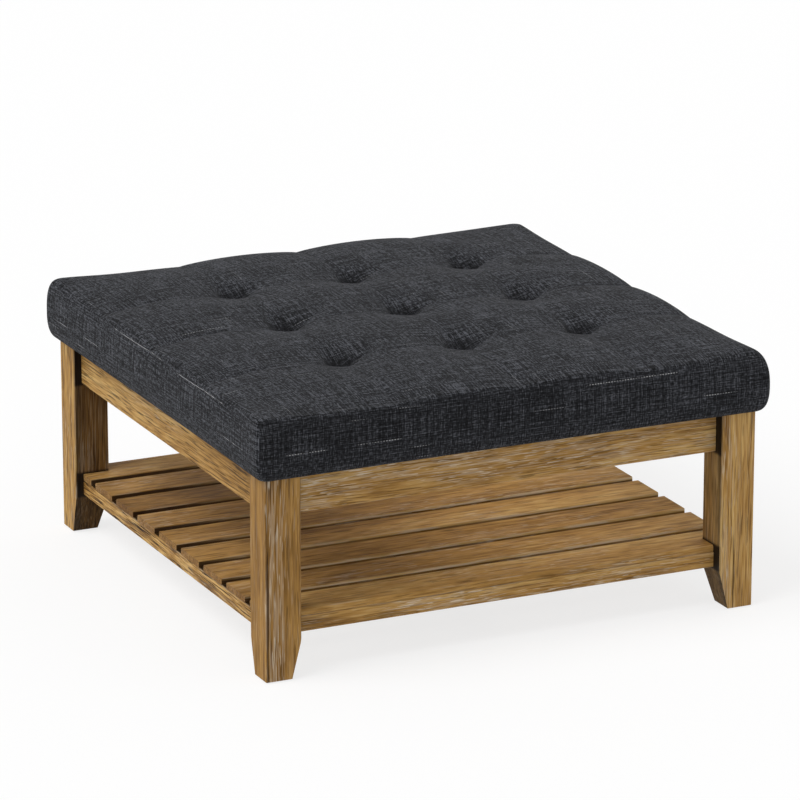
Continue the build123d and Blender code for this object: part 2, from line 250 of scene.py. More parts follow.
stain_stops = [
    (0.05, paint(88, 59, 27)),
    (0.36, paint(141, 103, 51)),
    (0.62, paint(181, 138, 76)),
    (0.95, paint(215, 178, 114)),
]
bare_stops = [(0.1, paint(176, 136, 88)), (0.5, paint(206, 170, 120)), (0.9, paint(226, 197, 152))]
# the stain in the brushed grooves and the glue lines, and also painted shade on the legs' inner faces and
# on slats' sides in the gaps
groove_and_shade_brown = paint(52, 32, 15)
# painted shade, nearly black: beside the legs' outer arrises, where boards meet the legs, and on rail tops
# between the slats
painted_shade_brown = paint(18, 9, 4)
figure_brown = paint(98, 62, 30)
lime_wax = paint(198, 172, 141)
lime_bright = paint(222, 206, 182)


# %% The grain of one board
class Board:
    """A board's own coordinates and the patterns that run along its grain."""

    def __init__(self, name, along, draw):
        self.finish = Finish(name)
        self.along = along
        self.seed = draw.uniform(0, 50)
        self.place = self.finish.place()
        axes = self.finish.split(self.place)
        self.grain, self.across, self.through = (axes[(along + turn) % 3] for turn in range(3))
        wobble = (self.fibres(2.6, 7, 1) - 0.5) * (2 * grain_wobble)
        axes = [axis if axis is self.grain else axis + wobble for axis in axes]
        self.place = self.finish.node("ShaderNodeCombineXYZ", None, dict(enumerate(axes)))
        self.ring = self.growth(draw)

    def fibres(self, length_scale, width_scale, detail=2, shift=0, coarse=(1, 1)):
        """Noise along the grain; `coarse` makes it that much coarser across and through the board."""
        stretch = [length_scale] * 3
        for turn, share in enumerate(coarse, 1):
            stretch[(self.along + turn) % 3] = width_scale * share
        return self.finish.noise(self.place, stretch, detail, self.seed + shift)

    def growth(self, draw):
        """From 0 to 1 through each year's growth, with the dark late wood at 1."""
        wander = (self.fibres(2.2, 7, 2, 3) - 0.5) * (2 * ring_wander)
        pith_across = draw.choice((-1, 1)) * draw.uniform(30, 90) * MM
        pith_through = draw.choice((-1, 1)) * draw.uniform(20, 60) * MM
        side = self.across - pith_across - self.grain * draw.uniform(-pith_drift, pith_drift)
        deep = self.through - pith_through
        radius = (side * side + deep * deep) ** 0.5 + wander
        return (radius / ring_spacing).math("FRACT")

    def facing(self):
        """How far the surface faces along each axis, and how much of an edge it is."""
        turned = [abs(part) for part in self.finish.normal()]
        most = turned[0].math("MAXIMUM", turned[1]).math("MAXIMUM", turned[2])
        return turned, most.between(0.93, 0.8)


# %% The inner faces of a leg
def darken(board, inner, streaks, colour):
    """Painted shade on a leg's inner faces, darkest near the outer arris and where boards meet it.

    `inner` has the direction in plan that these faces look to, the leg's outer corner, how deep their
    painted shade is, and from where to where, in height, other boards meet the leg and how deep the painted
    shade is there.
    """
    finish, height = board.finish, board.grain
    faces = [(part * turn).between(*faced) for part, turn in zip(finish.normal(), inner["towards"])]
    inward = faces[0].math("MAXIMUM", faces[1])
    lines = board.fibres(7, 420, 2, 79, leg_coarse).between(0.56, 0.64)
    beside_x = faces[0] * abs(board.through - inner["outer"][1]).between(arris_reach, arris_reach / 4)
    beside_y = faces[1] * abs(board.across - inner["outer"][0]).between(arris_reach, arris_reach / 4)
    # painted shade: inner faces darker, darkest beside the outer arris and where other boards meet the leg;
    # the lime lines on them are the finish's own
    coats = [
        (inward * (inner["dark"] + (streaks - 0.5) * 1.3), groove_and_shade_brown),
        (inward * lines * 0.22, lime_wax),
        (beside_x.math("MAXIMUM", beside_y) * 0.5, painted_shade_brown),
    ]
    for low, high, share in inner["met"]:
        met = height.between(low - corner_fade, low) * height.between(high + corner_fade, high)
        coats.append((inward * met * share, painted_shade_brown))
    return finish.coats(colour, *coats)


# %% The limed finish
def brushed_pine(
    name, along, draw, lime, tone, calm=0.6, band=(3, 48), coarse=(1, 1),
    thin=None, stave=None, inner=None, stained=None, covered=False,
):
    """`along` is the grain's axis; `lime`, `tone` and `calm` are from 0 to 1.

    `calm` is how much of the grain's contrast is gone and `band` how many bands of tone there are in a
    metre, along and across. `coarse` makes the fine fibres coarser, across and through the board. `thin`
    is from where to where, along the board, the lime gets less. `stave` is where a glue line runs, where
    the more limed stave beside it ends, the line's width and how high it shows. `inner` is for a leg's
    painted shade: `darken` says more. `stained` is for a slat whose side shows in the gaps, and paints
    shade on that side: over all of it left of a given place, and right of it below a pale strip under
    the top arris, which is partly painted light; it holds that place and the height of that arris.
    `covered` is for a rail under the slats, whose top gets painted shade where it shows between them.
    """
    board = Board(name, along, draw)
    finish, fibres = board.finish, board.fibres
    facing, arris = board.facing()

    streaks = fibres(17, 400, 3, 7, coarse)
    bands = fibres(*band, 2, 13)
    drift = fibres(1.2, 9, 1, 17)
    vivid = 1 - calm
    if stave is None:
        side_on, painted_side_light = facing[0] * 0.6 + 1, 0
        strands, specks = (16, 400, 2), (34, 520, 1)
        patches = fibres(3.5, 17, 2, 41).between(0.6 - 0.32 * lime, 0.72 - 0.2 * lime)
        rubbed = patches * (facing[1] * 0.68 + 0.32)
    else:
        glue_line, limed_to, line_width, line_top = stave
        # painted light: a front leg's left and right faces are made lighter than its front
        side_on, painted_side_light = facing[0] * -0.35 + 1, facing[0] * 0.14
        strands, specks = (9, 340, 3), (22, 460, 1)
        edge = board.across + (bands - 0.5) * stave_wander
        beside = edge.between(limed_to + stave_fade, limed_to - stave_fade)
        rubbed = (beside * lime + 0.1) * (facing[1] * 0.9 + 0.1)
    if thin is not None:
        rubbed = rubbed * (1 - board.grain.between(*thin) * 0.5)

    shade = (streaks - 0.5) * (0.4 + vivid) * side_on + painted_side_light
    shade = shade + (bands - 0.5) * (0.45 + 0.75 * vivid) + (drift - 0.5) * 0.7
    shade = shade + (0.4 + 0.26 * tone) - board.ring**5 * (0.16 * vivid)
    figure = fibres(6, 62, 2, 23).between(0.57, 0.69) * (0.25 + 0.35 * vivid)
    grooves = fibres(14, 440, 2, 31, coarse).between(0.57, 0.63)
    limed = fibres(*strands, 53, coarse).between(0.49, 0.57) * rubbed * 0.66
    limed = limed.math("MAXIMUM", arris * fibres(14, 60, 2, 61).between(0.45, 0.62) * 0.6)
    flecks = fibres(*specks, 67, coarse).between(0.59, 0.67) * (rubbed * 0.8 + 0.06)
    colour = finish.coats(
        finish.ramp(shade, stain_stops),
        (figure, figure_brown),
        (grooves * side_on * (0.3 + 0.4 * vivid), groove_and_shade_brown),
        (limed, lime_wax),
        (flecks, lime_bright),
    )

    if stave is not None:
        offset = abs(board.across - glue_line + (streaks - 0.5) * (1.5 * line_width))
        seam = offset.between(line_width, 0.45 * line_width) * facing[1]
        seam = seam * board.grain.between(line_top + seam_fade, line_top - seam_fade)
        seam = seam * fibres(9, 60, 1, 71).between(0.3, 0.45)
        colour = finish.mix(seam * 0.82, colour, groove_and_shade_brown)
    if inner is not None:
        colour = darken(board, inner, streaks, colour)
    # painted shade on a slat's side where it shows in a gap: all of the side left of `reach`, and right of
    # it below a pale strip under the arris; the strip is honey with lime flecks, partly painted light
    if stained is not None:
        reach, arris_height = stained
        right = board.grain.between(reach - gap_shade_fade, reach + gap_shade_fade)
        strip = board.through.between(arris_height - strip_low, arris_height - strip_high)
        pale_strip = right * strip
        side = facing[1].between(*faced)
        waxed = side * pale_strip * fibres(12, 240, 2, 73).between(0.44, 0.56)
        colour = finish.coats(
            colour,
            (side * (1 - pale_strip) * (0.93 - right * 0.4), groove_and_shade_brown),
            (side * pale_strip * 0.9, stain_stops[-1][1]),
            (waxed * 0.7, lime_bright),
        )
    # painted shade on a rail's top, where it shows in the gaps between the slats
    if covered:
        colour = finish.mix(finish.normal()[2].between(*faced) * 0.9, colour, painted_shade_brown)
    colour = finish.mix(facing[along].between(*faced) * 0.45, colour, figure_brown)

    height = streaks * 0.5 + board.ring * 0.2 - grooves * 0.6
    return finish.close(
        Base_Color=colour,
        Roughness=0.62 + (streaks - 0.5) * 0.3,
        Normal=finish.bump(height, brush_depth),
        Specular_IOR_Level=0.12,
    )


# %% [markdown]
# The corner blocks and the batten under the seat are the same pine, left bare. They come from the same
# grain with a paler ramp, no lime, and the marks of the saw across it.


# %% The bare finish
saw_pitch = 2.4 * MM


def wave(at, pitch):
    """A sine that turns once in each pitch."""
    return (at * (2 * math.pi / pitch)).math("SINE")


def bare_pine(name, along, draw):
    board = Board(name, along, draw)
    finish = board.finish
    streaks = board.fibres(8, 260, 2, 7)
    saw = wave(board.grain, saw_pitch)
    shade = (streaks - 0.5) * 1.2 + 0.6 - board.ring**4 * 0.35 + saw * 0.03
    return finish.close(
        Base_Color=finish.ramp(shade, bare_stops),
        Roughness=0.75 + (streaks - 0.5) * 0.3,
        Normal=finish.bump(streaks * 0.6 + saw * 0.2, brush_depth),
        Specular_IOR_Level=0.2,
    )


# %% [markdown]
# The grain runs the length of each board: up the legs, along the aprons and rails, and left to right on
# the slats. The blocks' grain lies along the front. The front legs show a dark glue line, where two
# staves meet. The slats' sides, where they show in the gaps, the rails' tops between the slats and the
# legs' inner faces get painted shade.

# %% Dress the boards
X, Y, Z = range(3)
grain_axes = {"leg": Z, "shelf_centre_rail": Y, "shelf_slat": X}
for place, axis in (("front", X), ("back", X), ("left", Y), ("right", Y)):
    grain_axes[f"apron_{place}"] = grain_axes[f"shelf_rail_{place}"] = axis
bare_axes = {"corner_block": X, "shelf_block": X, "seat_brace": Y}
stained_to = -285 * MM  # where a slat's painted side shade gives way to the pale strip: on the middle slat, and further right on the ones behind it
stained_slant = 0.31

# Boards that differ from the others of their kind in how calm, banded or limed they are.
odd_boards = {
    "apron_front": {"thin": (-150 * MM, 250 * MM), "calm": 0.45},
    "shelf_rail_left": {"calm": 0, "band": (18, 70)},
    "leg_front_right": {"calm": 0.4},
}

# A glued leg's line and the end of its limed stave, from the leg's left, then the line's width and top.
glued_legs = {
    "leg_front_left": (3 * MM, 30 * MM, 3.2 * MM, 500 * MM),
    "leg_front_right": (27 * MM, 30 * MM, 1.6 * MM, 130 * MM),
}

# How much lime, and how light a tone, the boards in plain sight have.
plain_sight = {
    "apron_left": (0.4, 1),
    "apron_front": (0.75, 1),
    "leg_front_left": (0.65, 0.22),
    "leg_front_right": (0.42, 0.75),
    "leg_back_left": (0.3, 0.6),
    "shelf_rail_left": (0.35, 0.6),
    "shelf_rail_front": (0.66, 0.6),
    "shelf_slat_1": (0.45, 1.1),
    "shelf_slat_4": (0.35, 0.9),
    "shelf_slat_5": (0.55, 0.6),
    "shelf_slat_6": (0.6, 0.5),
    "shelf_slat_7": (0.3, -0.2),
    "shelf_slat_8": (0.5, 0.25),
    "shelf_slat_9": (0.4, 0.8),
}


def axis_of(name, axes):
    return next((axis for start, axis in axes.items() if name.startswith(start)), None)


front_slat_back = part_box("shelf_slat_1")[1].y
rail_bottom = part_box("shelf_rail_front")[0].z
# where other boards meet the legs, in height, and how deep the painted shade is there
meeting_heights = [
    (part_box("apron_front")[0].z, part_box("leg_front_left")[1].z, 0.95),
    (rail_bottom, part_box("shelf_slat_1")[1].z, 0.95),
    (0, rail_bottom, 0.4),
]
boards = random.Random(4)
limed_count = bare_count = 0
for name in sorted(nodes):
    if axis_of(name, grain_axes) is not None:
        lime, tone = boards.uniform(0.35, 0.75), boards.uniform(0.3, 0.8)
        lime, tone = plain_sight.get(name, (lime, tone))
        low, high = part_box(name)
        extras = {}
        if name in glued_legs:
            glue_line, limed_to, *line = glued_legs[name]
            extras["stave"] = (low.x + glue_line, low.x + limed_to, *line)
        if name.startswith(("shelf_rail", "shelf_centre")):
            extras["covered"] = True
        if name.startswith("leg"):
            towards = [-math.copysign(1, low[axis] + high[axis]) for axis in (X, Y)]
            outer = [low[axis] if towards[axis] > 0 else high[axis] for axis in (X, Y)]
            # the back legs' inner faces get deeper painted shade than the front legs'
            dark = 0.56 if towards[Y] > 0 else 0.74
            extras.update(calm=0.65, coarse=leg_coarse)
            extras["inner"] = {"towards": towards, "outer": outer, "dark": dark, "met": meeting_heights}
        if name.startswith("shelf_slat"):
            extras.update(calm=0.8, band=(20, 100), coarse=slat_coarse)
            # the slats behind the front one show their sides in the gaps, and get painted shade there
            if low.y > front_slat_back:
                extras["stained"] = (stained_to + stained_slant * low.y, high.z)
        extras.update(odd_boards.get(name, {}))
        finish = brushed_pine(f"limed_{name}", axis_of(name, grain_axes), boards, lime, tone, **extras)
        wear(nodes[name], finish)
        limed_count += 1
    if axis_of(name, bare_axes) is not None:
        wear(nodes[name], bare_pine(f"bare_{name}", axis_of(name, bare_axes), boards))
        bare_count += 1
print(limed_count, "limed boards and", bare_count, "bare ones, each with its own grain")

# %% [markdown]
# ## What holds it together
#
# The seat board is plywood: its faces are one veneer, and its edges show the layers. The bolts, washers
# and nuts are zinc-plated steel, the glides are moulded plastic and the tufts are tied with waxed twine.
# None of it shows from above, but a visitor who turns the table over will see it, so each gets what the
# real one has: the layers, the plating's grey bloom, the moulded speckle and the lay of the twine.

# %% Plywood, plating, plastic and twine
veneer_thickness = 1.5 * MM
strand_pitch = 2.2 * MM


def plywood():
    board = Board("plywood", X, random.Random(8))
    finish = board.finish
    facing, _ = board.facing()
    layer = (board.through / (2 * veneer_thickness)).math("FRACT")
    edge = layer.between(0.45, 0.55) * facing[2].between(0.6, 0.3)
    streaks = board.fibres(6, 150, 3, 5)
    birch = finish.mix(streaks.between(0.3, 0.7), paint(196, 164, 118), paint(222, 196, 152))
    return finish.close(
        Base_Color=finish.mix(edge * 0.6, birch, paint(146, 106, 66)),
        Roughness=0.7 + (streaks - 0.5) * 0.2,
        Normal=finish.bump(streaks, 0.2 * MM),
        Specular_IOR_Level=0.3,
    )


def two_toned(finish, pattern, span, dark, light, roughness, rougher, depth, **sockets):
    """One pattern goes from dark to light over the span, and roughens and raises the surface too."""
    return finish.close(
        Base_Color=finish.mix(pattern.between(*span), paint(*dark), paint(*light)),
        Roughness=pattern * rougher + roughness,
        Normal=finish.bump(pattern, depth),
        **sockets,
    )


def zinc_steel():
    finish = Finish("zinc_steel")
    bloom = finish.noise(finish.place(), (420, 420, 420), 3, 2)
    greys = (158, 162, 166), (196, 198, 198)
    return two_toned(finish, bloom, (0.35, 0.65), *greys, 0.3, 0.3, 0.05 * MM, Metallic=0.9)


def glide_plastic():
    finish = Finish("glide_plastic")
    speckle = finish.noise(finish.place(), (900, 900, 900), 2, 4)
    return two_toned(finish, speckle, (0.4, 0.6), (38, 34, 30), (52, 47, 42), 0.45, 0.2, 0.08 * MM)


def twine():
    finish = Finish("twine")
    x, y, z = finish.split(finish.place())
    lay = wave(z + (x + y) * 0.8, strand_pitch)
    return two_toned(finish, lay, (-0.8, 0.8), (120, 108, 88), (186, 172, 146), 0.8, -0.08, 0.3 * MM)


# %% Dress the fittings
fittings = {
    "seat_board": plywood(),
    "hanger_bolts": zinc_steel(),
    "foot_glides": glide_plastic(),
    "tuft_cords": twine(),
}
plated = ("hanger_washers", "hanger_nuts", "shelf_bolts", "seat_screws", "tuft_anchors")
fittings.update({name: fittings["hanger_bolts"] for name in plated})
for name, finish in fittings.items():
    wear(nodes[name], finish)
print(len(fittings), "kinds of fitting dressed")

# %% [markdown]
# ## The slats' screws
#
# Each slat is held by three screws, driven up through the shelf's side and centre rails. The CAD model
# leaves them out, as they matter only to the eye: from below, a row of domed heads. A plain disc would
# look like a sticker, so each head is a stack of rings: a low dome, and in it a socket whose rings are
# square. All 27 make one piece.

# %% Screw heads
head_radius = 4.2 * MM
head_height, socket_depth = 2.3, 1.4  # in mm
socket_half = 1.4 * MM
socket_taper = 0.86
around = 24  # points in a ring, a multiple of 8 so that a square has corners
first_reach = 375 * MM  # the outer slats' screws are moved in, to clear the shelf blocks


def put_in_scene(name, data):
    thing = bpy.data.objects.new(name, data)
    bpy.context.scene.collection.objects.link(thing)
    return thing


def new_piece(name, points, faces):
    mesh = bpy.data.meshes.new(name)
    mesh.from_pydata([tuple(p) for p in points], [], faces)
    mesh.validate()
    mesh.update()
    return put_in_scene(name, mesh)


def ring_walls(start, size, levels):
    """Quads round a stack of rings of points, from each ring to the one above it."""
    firsts = [start + level * size for level in range(levels - 1)]
    return [
        (first + i, first + (i + 1) % size, first + (i + 1) % size + size, first + i + size)
        for first in firsts
        for i in range(size)
    ]


def turned_over(quads):
    return [(a, d, c, b) for a, b, c, d in quads]


def ring_of(reach, square):
    """Points round a circle, or a square, of this half-width."""
    angles = np.linspace(0, 2 * math.pi, around, endpoint=False)
    across, up = np.cos(angles), np.sin(angles)
    size = reach / np.maximum(np.abs(across), np.abs(up)) if square else reach
    return np.stack([across * size, up * size], -1)


def screw_heads(places):
    """One mesh of heads that hang from the given points."""
    profile = [(0.96, 0), (1, 0.5), (0.94, 1.2), (0.76, 1.9), (0.5, head_height)]
    rings = [(ring_of(head_radius * share, False), depth * MM) for share, depth in profile]
    rings += [
        (ring_of(socket_half, True), head_height * MM),
        (ring_of(socket_taper * socket_half, True), (head_height - socket_depth) * MM),
    ]
    points, faces = [], []
    for place in places:
        start = len(points)
        for ring, depth in rings:
            points += [(place[0] + x, place[1] + y, place[2] - depth) for x, y in ring]
        faces += turned_over(ring_walls(start, around, len(rings)))
        faces.append(tuple(range(start, start + around)))
        faces.append(tuple(reversed(range(len(points) - around, len(points)))))
    return new_piece("slat_screws", points, faces)


screw_places = []
for number in range(1, 10):
    low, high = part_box(f"shelf_slat_{number}")
    for rail in ("shelf_rail_left", "shelf_centre_rail", "shelf_rail_right"):
        rail_low, rail_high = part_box(rail)
        y = min(max((low.y + high.y) / 2, -first_reach), first_reach)
        screw_places.append(((rail_low.x + rail_high.x) / 2, y, rail_low.z))
slat_screws = screw_heads(screw_places)
wear(slat_screws, fittings["hanger_bolts"])
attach(slat_screws, "root")
print(len(screw_places), "screws under the slats")

# %% [markdown]
# ## Linen
#
# The cover is a coarse linen-look cloth: charcoal threads of uneven thickness, crossing at right angles,
# with now and then a pale slub that lies on top for a few centimetres. Modelling a million threads would
# cost far too much, and a plain speckle looks like stone. Two noises, each stretched along one thread
# direction, give the crossing streaks. A fine over-and-under pattern carries the weave itself in the
# bump. A slub dips under the crossing threads as any thread does, so it shows as a row of dashes. The
# coordinates are the cloth's own, stored on the mesh when it is built, so the threads turn over the rim
# with the cover.

# %% The linen finish
thread_pitch = 1.1 * MM
dash_pitch = 5.2 * MM
weave_depth = 0.35 * MM

linen_stops = [
    (0.0, paint(12, 12, 14)),
    (0.36, paint(33, 34, 37)),
    (0.62, paint(56, 57, 61)),
    (1.0, paint(92, 94, 100)),
]
slub_white = paint(196, 196, 198)
slub_core, slub_edge, slub_taper = 0.3 * MM, 0.8 * MM, 12 * MM
front_painted_light = (-150 * MM, 450 * MM)  # between these, painted light lifts the front a little towards the right

# The long slubs, in mm: where the thread lies on the cloth, and where the slub comes up and goes under.
side_slubs = [(-499, -58, 166), (-502, -325, -118), (-553, 368, 440), (-550, 214, 305), (-554, -422, -300)]
front_slubs = [(-552, -435, -354), (-551, -306, -218), (-504, 123, 303), (-551, 344, 420), (20, -412, -321)]


def slub(across, along, thread, start, end):
    on_thread = abs(across - thread * MM).between(slub_edge, slub_core)
    reach = (end - start) / 2 * MM
    return on_thread * abs(along - (start + end) / 2 * MM).between(reach, reach - slub_taper)


def linen():
    finish = Finish("charcoal_linen")
    cloth = finish.node("ShaderNodeAttribute", {"attribute_name": "cloth"}, output="Vector")
    left_right, front_back, _ = finish.split(cloth)
    over = wave(left_right, thread_pitch) * wave(front_back, thread_pitch) * 0.5 + 0.5

    def threads(along, across, detail, weft_seed, warp_seed):
        """The same noise along the weft and along the warp."""
        weft = finish.noise(cloth, (along, across, 1), detail, weft_seed)
        return weft, finish.noise(cloth, (across, along, 1), detail, warp_seed)

    crossing = sum(threads(110, 620, 1, 3, 5)) + sum(threads(14, 460, 0, 7, 9)) * 0.6
    worn = finish.noise(cloth, (9, 9, 1), 2, 11)
    to_side, to_front, _ = (abs(part) for part in finish.normal())
    # painted shade in the tufts' pits: the deeper the pit, the darker the cloth and the less its contrast
    hollow = finish.node("ShaderNodeAttribute", {"attribute_name": "hollow"}, output="Fac")
    hollow = hollow.between(0.15, 0.75)
    front = to_front.between(0.4, 0.9)
    contrast = 1.9 - front * 0.6 - hollow * 0.3
    shade = (crossing - 1.6) * contrast + (worn - 0.5) * 0.25 + over * 0.1 + 0.41
    # painted shade on the front side, with painted light lifting it towards the right
    shade = shade - front * (0.07 - left_right.between(*front_painted_light) * 0.06) - hollow * 0.08
    colour = finish.ramp(shade, linen_stops)
    colour = finish.mix(hollow * 0.52, colour, linen_stops[0][1])

    weft, warp = threads(8, 400, 0, 17, 21)
    slubs = []
    for chance, across, along, edge_on, long_ones in (
        (weft, front_back, left_right, to_side, front_slubs),
        (warp, left_right, front_back, to_front, side_slubs),
    ):
        short = chance.between(0.82, 0.845) * edge_on.between(0.8, 0.6) * 0.6
        both = short + sum(slub(across, along, *place) for place in long_ones)
        slubs.append(both * wave(along, dash_pitch).between(-0.6, 0.2))
    slubs = slubs[0].math("MAXIMUM", slubs[1])
    slubs = slubs * (finish.noise(cloth, (55, 55, 1), 0, 25).between(0.32, 0.58) * 0.75 + 0.25)
    colour = finish.mix(slubs * 0.85, colour, slub_white)

    height = over * 0.4 + crossing * 0.4 + slubs * 0.4
    return finish.close(
        Base_Color=colour,
        Roughness=0.92,
        Normal=finish.bump(height, weave_depth),
        Specular_IOR_Level=0.12,
        Sheen_Weight=0.03,
        Sheen_Roughness=0.5,
    )


linen_finish = linen()
print("linen threads every", thread_pitch / MM, "mm")

# %% [markdown]
# ## The cushion's shape
#
# The seat is one cover drawn over board and foam. Its sides belly out a little, roll in to a rim above
# and tuck in to the legs below. On top, nine tufts pull the cover down, and the squares between them
# swell, so the edge is scalloped where the lines of tufts reach it.
#
# We could sculpt this by hand, or pull a flat cloth down in a simulation. We do both in turn: first a
# formula for the height gives the clean upholstered form, with no guesswork about where it ends up, and
# then a short cloth simulation lets the fabric find its own small wrinkles.

# %% Sizes of the cushion
cover_low, cover_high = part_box("cushion_cover")
half = cover_high.x
bottom = cover_low.z

tuft_pitch = 229 * MM
tuft_shift = 8 * MM  # the upholsterer set the three rows a little to the right
tuft_depth = 27 * MM
dimple_depth, dimple_reach = 9.5 * MM, 50 * MM  # the part of it that is a broad, smooth hollow
lip = 13 * MM  # from a tuft's middle to its near edge, which is short and sharp
lip_half = 16 * MM
fan_heading = math.radians(57)  # behind the lip the cloth rises again in a slack fan, this way
fan_length = 74 * MM
fan_splay = 0.3  # how fast the fan widens
lip_wall, side_wall, fan_wall = 1.8 * MM, 3 * MM, 8 * MM  # how gradual a pit's walls are
fold_ripple = 0.12
trail_depth = 3 * MM  # of the crease that trails on from the fan's right side
trail_start, trail_end = (8 * MM, 30 * MM), (36 * MM, 100 * MM)
trail_width, trail_splay = 2.6 * MM, 0.05
rim_rise = 101 * MM
crown_rise = 17 * MM
pillow_rise = 5 * MM
edge_swell = 8 * MM
outer_swell = 0.3  # the share of it in the bays next to the corners
edge_band = (0.55 * half, 0.97 * half)  # from the middle, where the swell of the edge takes over
corner_lift = 8 * MM
right_lean = 24 * MM  # the front row's dent in the right edge lies this much further back
rim_roll = 22 * MM
right_roll = 12 * MM  # the rim is this much softer on the right
hem_roll = 18 * MM
belly_height = 46 * MM  # where the side is widest
corner_radius = 14 * MM
side_draw = 3 * MM
hem_power = 2.6  # how square the hem's roll is
rim_steps, hem_steps = 11, 8
fold_width = 77 * MM  # from the widest line to the cover's end under the board

tuft_columns = [tuft_shift + turn * tuft_pitch for turn in (-1, 0, 1)]
tuft_rows = [turn * tuft_pitch for turn in (-1, 0, 1)]
tufts = [(x, y) for x in tuft_columns for y in tuft_rows]
print("cushion", round(2 * half / MM), "mm wide,", round((cover_high.z - bottom) / MM), "mm thick")

# %% [markdown]
# The grid that we pull into shape is finer near the lines of tufts and near the rim, where the form
# turns quickly, and coarse where nothing happens. `spaced` makes such a list of grid lines.


# %% Grid lines
def spaced(stops):
    """Positions between the stops [(position, step up to the next stop), ...]."""
    lines = []
    for (start, step), (end, _) in zip(stops, stops[1:]):
        count = max(1, round((end - start) / step))
        lines += [start + (end - start) * i / count for i in range(count)]
    return np.array(lines + [stops[-1][0]])


top_half = half - rim_roll
near_tuft, fine, coarse = 30 * MM, 3.3 * MM, 15 * MM


def grid_lines(tuft_lines):
    stops = [(-top_half, fine), (-top_half + corner_radius, coarse)]
    for line in tuft_lines:
        stops += [(line - near_tuft, fine), (line + near_tuft, coarse)]
    stops += [(top_half - corner_radius, fine), (top_half, fine)]
    return spaced(stops)


lines_x = grid_lines(tuft_columns)
lines_y = grid_lines(tuft_rows)
print(len(lines_x), "by", len(lines_y), "lines on the top")

# %% [markdown]
# ## Height of the top
#
# `arch` is one pillow in section: it rises steeply from a line of tufts and is nearly flat in the middle.
# Two of them, added, make the field of pillows. A real tuft isn't a round dent: the cloth is slack on one
# side, so the pit has a short, sharp lip at the front, and behind it a fan of soft folds that widens and
# rises back to the top, with a crease that trails on. `pit` builds just that from S-shaped walls: the
# lip's wall is steep, the fan's is slow. All of it works on whole numpy arrays, so nothing loops over
# points.


# %% The height formula
def arch(at, tuft_lines):
    seams = np.array([-half, *tuft_lines, half])
    left = np.clip(np.searchsorted(seams, at, side="right") - 1, 0, len(seams) - 2)
    share = (at - seams[left]) / (seams[left + 1] - seams[left])
    return np.clip(4 * share * (1 - share), 0, 1) ** 0.8


def soft_step(at, low, high):
    share = np.clip((at - low) / (high - low), 0, 1)
    return share * share * (3 - 2 * share)


def bay_swell(at, tuft_lines):
    """How much of the edge's swell a bay has: all of it between two lines of tufts."""
    inner = (at > tuft_lines[0]) & (at < tuft_lines[-1])
    return edge_swell * arch(at, tuft_lines) * np.where(inner, 1, outer_swell)


def crown(x, y):
    flat = (1 - (x / half) ** 4) * (1 - (y / half) ** 4)
    edge_x, edge_y = (soft_step(np.abs(at), *edge_band) for at in (x, y))
    inner = pillow_rise * (arch(x, tuft_columns) + arch(y, tuft_rows)) / 2
    lean = right_lean * soft_step(x, 0, half) * soft_step(-y, 0, tuft_pitch)
    lean = lean * soft_step(y, -half, -tuft_pitch)
    swell = edge_x * bay_swell(y - lean, tuft_rows) + edge_y * bay_swell(x, tuft_columns)
    swell = swell / np.maximum(edge_x + edge_y, 1e-6)
    edge = np.maximum(edge_x, edge_y)
    corner = corner_lift * (edge_x * edge_y) ** 2
    return bottom + rim_rise + crown_rise * flat + inner * (1 - edge) + swell * edge + corner


def slope_off(distance, wall):
    """An S from 1 well inside an edge, where the distance is positive, to 0 well outside it."""
    return 1 / (1 + np.exp(np.clip(-distance / wall, -30, 30)))


def pit(x, y, centre, draw):
    turn = fan_heading + draw.uniform(-0.1, 0.1)
    dx, dy = x - centre[0], y - centre[1]
    behind = dx * math.cos(turn) + dy * math.sin(turn)
    right = dx * math.sin(turn) - dy * math.cos(turn)
    side = lip_half * draw.uniform(0.85, 1.2) + fan_splay * np.maximum(behind + lip, 0)
    rise = soft_step(behind, -4 * MM, fan_length)
    near_edge = slope_off(behind + lip, lip_wall)
    sides = slope_off(side - np.abs(right), side_wall + (fan_wall - side_wall) * rise)
    walls = np.minimum(near_edge, sides)
    ripple = 1 + fold_ripple * np.cos(4 * math.pi * right / side + draw.uniform(0, 2 * math.pi))
    depth = (tuft_depth - dimple_depth) * walls * ripple * (1 - rise) ** 1.2
    depth = depth + dimple_depth * np.exp(-(dx**2 + dy**2) / dimple_reach**2)
    trail = soft_step(behind, *trail_start) * soft_step(-behind, -trail_end[1], -trail_end[0])
    width = trail_width + trail_splay * np.abs(behind)
    for mirror, share in ((1, 1), (-1, draw.uniform(0.2, 0.6))):
        aside = (mirror * right - side) / width
        depth = depth + share * trail_depth * trail * np.exp(-(aside**2))
    return depth


def pits(x, y):
    draw = random.Random(11)
    return sum(pit(x, y, centre, draw) for centre in tufts)


def top_height(x, y):
    return crown(x, y) - pits(x, y)


# %% [markdown]
# ## Let the cloth settle
#
# The formula is too perfect: real linen creeps a little under the wadding's push and finds small dents of
# its own. So we lay a sheet of cloth with an even mesh on the formula, hold it at the tufts and along the
# rim, and let Blender's cloth solver push it out for twenty frames. We keep only how far each point
# moved, at most `settle_cap`, and add that to the finer mesh below. The even mesh matters: on uneven
# quads the folds would follow the mesh.

# %% The cloth simulation
settle_step = 7 * MM
settle_frames = 20
settle_cap = 8 * MM
settle_pressure = 0.8
cloth_growth = 0.002
held_radius = 22 * MM


def grid_quads(wide, deep):
    corners = [row * wide + column for row in range(deep - 1) for column in range(wide - 1)]
    return [(first, first + 1, first + wide + 1, first + wide) for first in corners]


